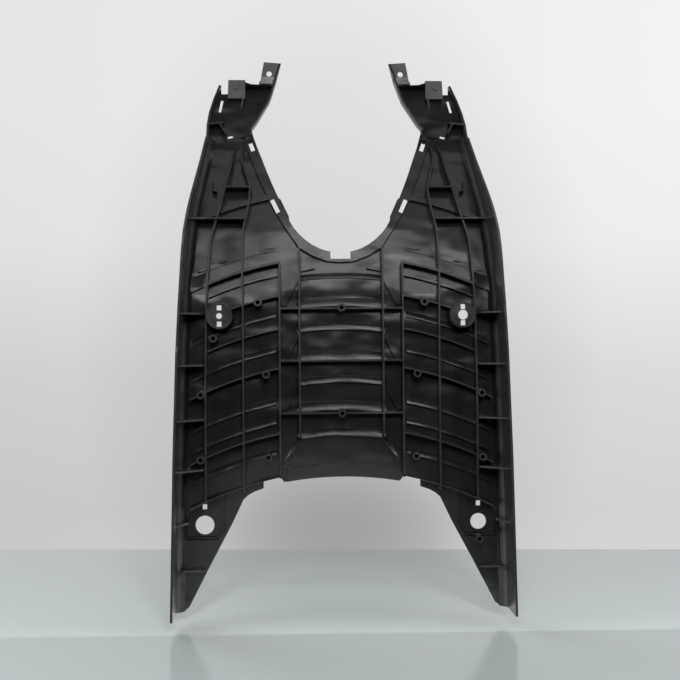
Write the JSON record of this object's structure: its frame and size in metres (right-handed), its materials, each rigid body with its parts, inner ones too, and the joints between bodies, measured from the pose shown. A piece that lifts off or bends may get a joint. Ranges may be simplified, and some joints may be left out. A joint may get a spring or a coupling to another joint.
{
  "type": "scooter floorboard",
  "caption": "Moulded floorboard panel of a motor scooter: ribbed underside, screw bosses, side skirts, a U-shaped front opening between raised horns and a rear gap between tapered tails.",
  "frame": {"origin": "middle of the box round the part, on the plane of the side skirts' lower edges", "axes": "+Y points to the front of the scooter, along the part's length, towards the horns; +Z points up, out of the tread; +X is the scooter's right side. The ribbed face looks down. The picture shows the part from below, with +Y up in the picture and +X to the left of it."},
  "size_m": [0.372, 0.6504, 0.1773],
  "materials": {
    "floorboard": "satin moulded polypropylene, black all through"
  },
  "bodies": {
    "root": {"floorboard": "floorboard"}
  },
  "joints": []
}
